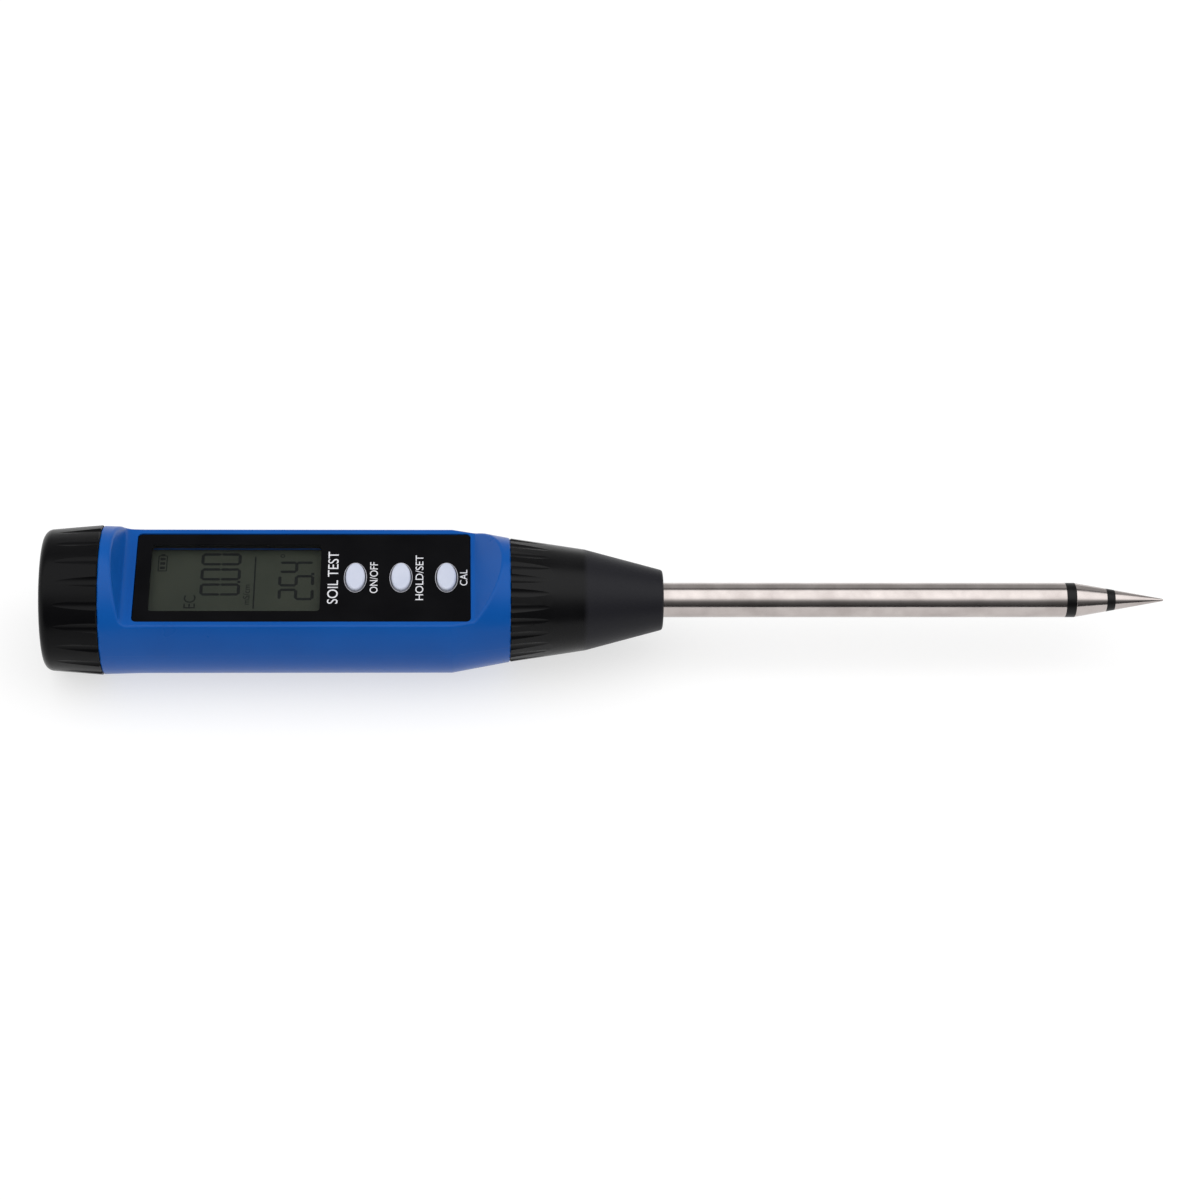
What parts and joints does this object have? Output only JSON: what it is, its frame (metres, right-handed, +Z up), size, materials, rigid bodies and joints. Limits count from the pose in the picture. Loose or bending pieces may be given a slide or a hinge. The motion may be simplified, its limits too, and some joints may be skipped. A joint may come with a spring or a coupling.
{
  "type": "soil moisture meter",
  "caption": "Pen-type soil probe meter: tapered handle with a display and push keys, a screw battery cap, and a long steel probe with ring and tip electrodes.",
  "frame": {"origin": "under the middle of the meter's length and width, on the surface it lies on", "axes": "+X along the meter from the screw cap to the probe's tip, +Z up out of the display face, +Y across"},
  "size_m": [0.2586, 0.0342, 0.0343],
  "materials": {
    "blue_abs": "moulded satin gloss",
    "black_abs": "moulded, fluted",
    "black_panel": "printed gloss",
    "key_plastic": "moulded",
    "clear_window": "clear polycarbonate",
    "display_glass": "liquid crystal display",
    "stainless": "ground and polished",
    "spring_steel": "drawn wire",
    "nickel": "nickel plated",
    "brass": "plated",
    "seal_rubber": "moulded",
    "adhesive_tape": "foam tape",
    "black_insulator": "turned",
    "white_nylon": "moulded",
    "green_board": "solder mask",
    "black_epoxy": "moulded epoxy",
    "lead_insulation": "extruded"
  },
  "bodies": {
    "housing": {"housing": "blue_abs", "front_panel": "black_panel", "display_window": "clear_window", "panel_adhesive": "adhesive_tape", "power_switch": "black_epoxy", "hold_switch": "black_epoxy", "cal_switch": "black_epoxy", "cap_o_ring": "seal_rubber", "battery_chassis": "white_nylon", "button_cells": "nickel", "negative_plate": "nickel", "battery_spring": "spring_steel", "supply_lead": "lead_insulation", "contact_strips": "brass", "main_board": "green_board", "board_screws": "stainless", "lcd_frame": "white_nylon", "lcd": "display_glass", "zebra_strips": "seal_rubber", "controller_chip": "black_epoxy", "measuring_chip": "black_epoxy", "crystal": "nickel", "small_components": "black_epoxy", "probe_connector": "white_nylon", "nose_cone": "black_abs", "nose_o_ring": "seal_rubber", "probe_tube": "stainless", "probe_collar": "brass", "rear_insulator": "black_insulator", "ring_electrode": "stainless", "front_insulator": "black_insulator", "tip_electrode": "stainless", "inner_sleeve": "white_nylon", "thermistor": "black_epoxy", "sensor_leads": "lead_insulation"},
    "power_key": {"power_key": "key_plastic", "power_plunger": "white_nylon"},
    "hold_key": {"hold_key": "key_plastic", "hold_plunger": "white_nylon"},
    "cal_key": {"cal_key": "key_plastic", "cal_plunger": "white_nylon"},
    "cap_contact": {"contact_disc": "nickel", "disc_spring": "spring_steel"},
    "battery_cap": {"battery_cap": "black_abs", "disc_screw": "stainless"}
  },
  "joints": [
    {"name": "power_press", "type": "slide", "parent": "housing", "child": "power_key", "axis": [0, 0, -1], "range_m": [0, 0.00045], "stiffness_N_per_m": 600, "springref_m": -0.0005},
    {"name": "hold_press", "type": "slide", "parent": "housing", "child": "hold_key", "axis": [0, 0, -1], "range_m": [0, 0.00045], "stiffness_N_per_m": 600, "springref_m": -0.0005},
    {"name": "cal_press", "type": "slide", "parent": "housing", "child": "cal_key", "axis": [0, 0, -1], "range_m": [0, 0.00045], "stiffness_N_per_m": 600, "springref_m": -0.0005},
    {"name": "cap_travel", "type": "slide", "parent": "housing", "child": "cap_contact", "axis": [-1, 0, 0], "range_m": [0, 0.0076]},
    {"name": "cap_turn", "type": "hinge", "parent": "cap_contact", "child": "battery_cap", "pos_m": [0, 0, 0.01715], "axis": [-1, 0, 0], "range_deg": [0, 1080]}
  ],
  "couplings": [
    {"joint": "cap_travel", "follows": "cap_turn", "m_per_rad": 0.00039789}
  ]
}
